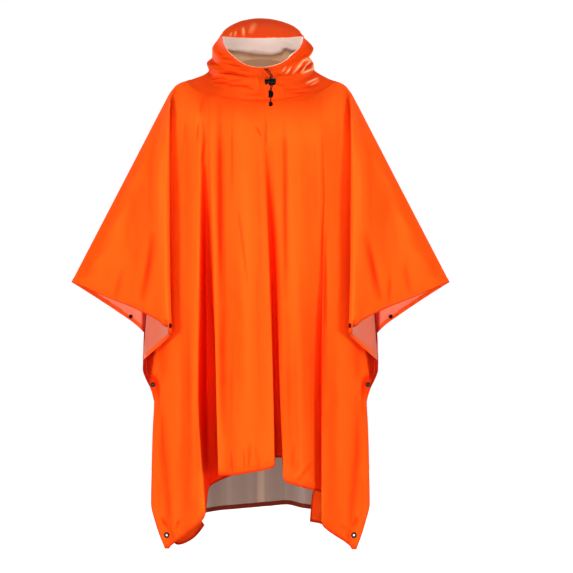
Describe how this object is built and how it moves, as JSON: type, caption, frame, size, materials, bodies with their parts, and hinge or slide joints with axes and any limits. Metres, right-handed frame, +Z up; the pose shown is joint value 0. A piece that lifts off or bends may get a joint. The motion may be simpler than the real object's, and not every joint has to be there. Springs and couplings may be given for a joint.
{
  "type": "rain poncho",
  "caption": "Hooded rain poncho of thin coated cloth in worn, hollow shape, with side pleats, snaps on the open sides, corner grommets and a drawcord with a lock at the chin.",
  "frame": {"origin": "where the wearer's neck and shoulders hold the poncho, in the middle of the neckline at the height of its sides", "axes": "+Z up; the front faces -Y; the wearer's right arm is on the -X side"},
  "size_m": [0.9068, 0.3271, 1.2683],
  "materials": {
    "cloth_orange": "fine plain-weave polyester, coated, soft gloss",
    "cord_black": "braided cord",
    "plastic_black": "moulded, matt",
    "metal_dark": "black oxide, satin"
  },
  "bodies": {
    "root": {"front_panel": "cloth_orange", "back_panel": "cloth_orange", "hood_left": "cloth_orange", "hood_centre": "cloth_orange", "hood_right": "cloth_orange", "drawcord_upper_left": "cord_black", "drawcord_upper_right": "cord_black", "drawcord_lower_left": "cord_black", "drawcord_lower_right": "cord_black", "drawcord_tail": "cord_black", "cord_knot": "cord_black", "cord_end_knot": "cord_black", "cord_lock": "plastic_black", "cord_lock_plunger": "plastic_black", "snap_back_cap_left": "metal_dark", "snap_back_cap_right": "metal_dark", "snap_back_socket_left": "metal_dark", "snap_back_socket_right": "metal_dark", "snap_front_cap_left": "metal_dark", "snap_front_cap_right": "metal_dark", "snap_front_stud_left": "metal_dark", "snap_front_stud_right": "metal_dark", "snap_shut_front_left": "metal_dark", "snap_shut_front_right": "metal_dark", "snap_shut_back_left": "metal_dark", "snap_shut_back_right": "metal_dark", "snap_shut_core_left": "metal_dark", "snap_shut_core_right": "metal_dark", "grommet_front_left": "metal_dark", "grommet_front_right": "metal_dark", "grommet_back_left": "metal_dark", "grommet_back_right": "metal_dark"}
  },
  "joints": []
}
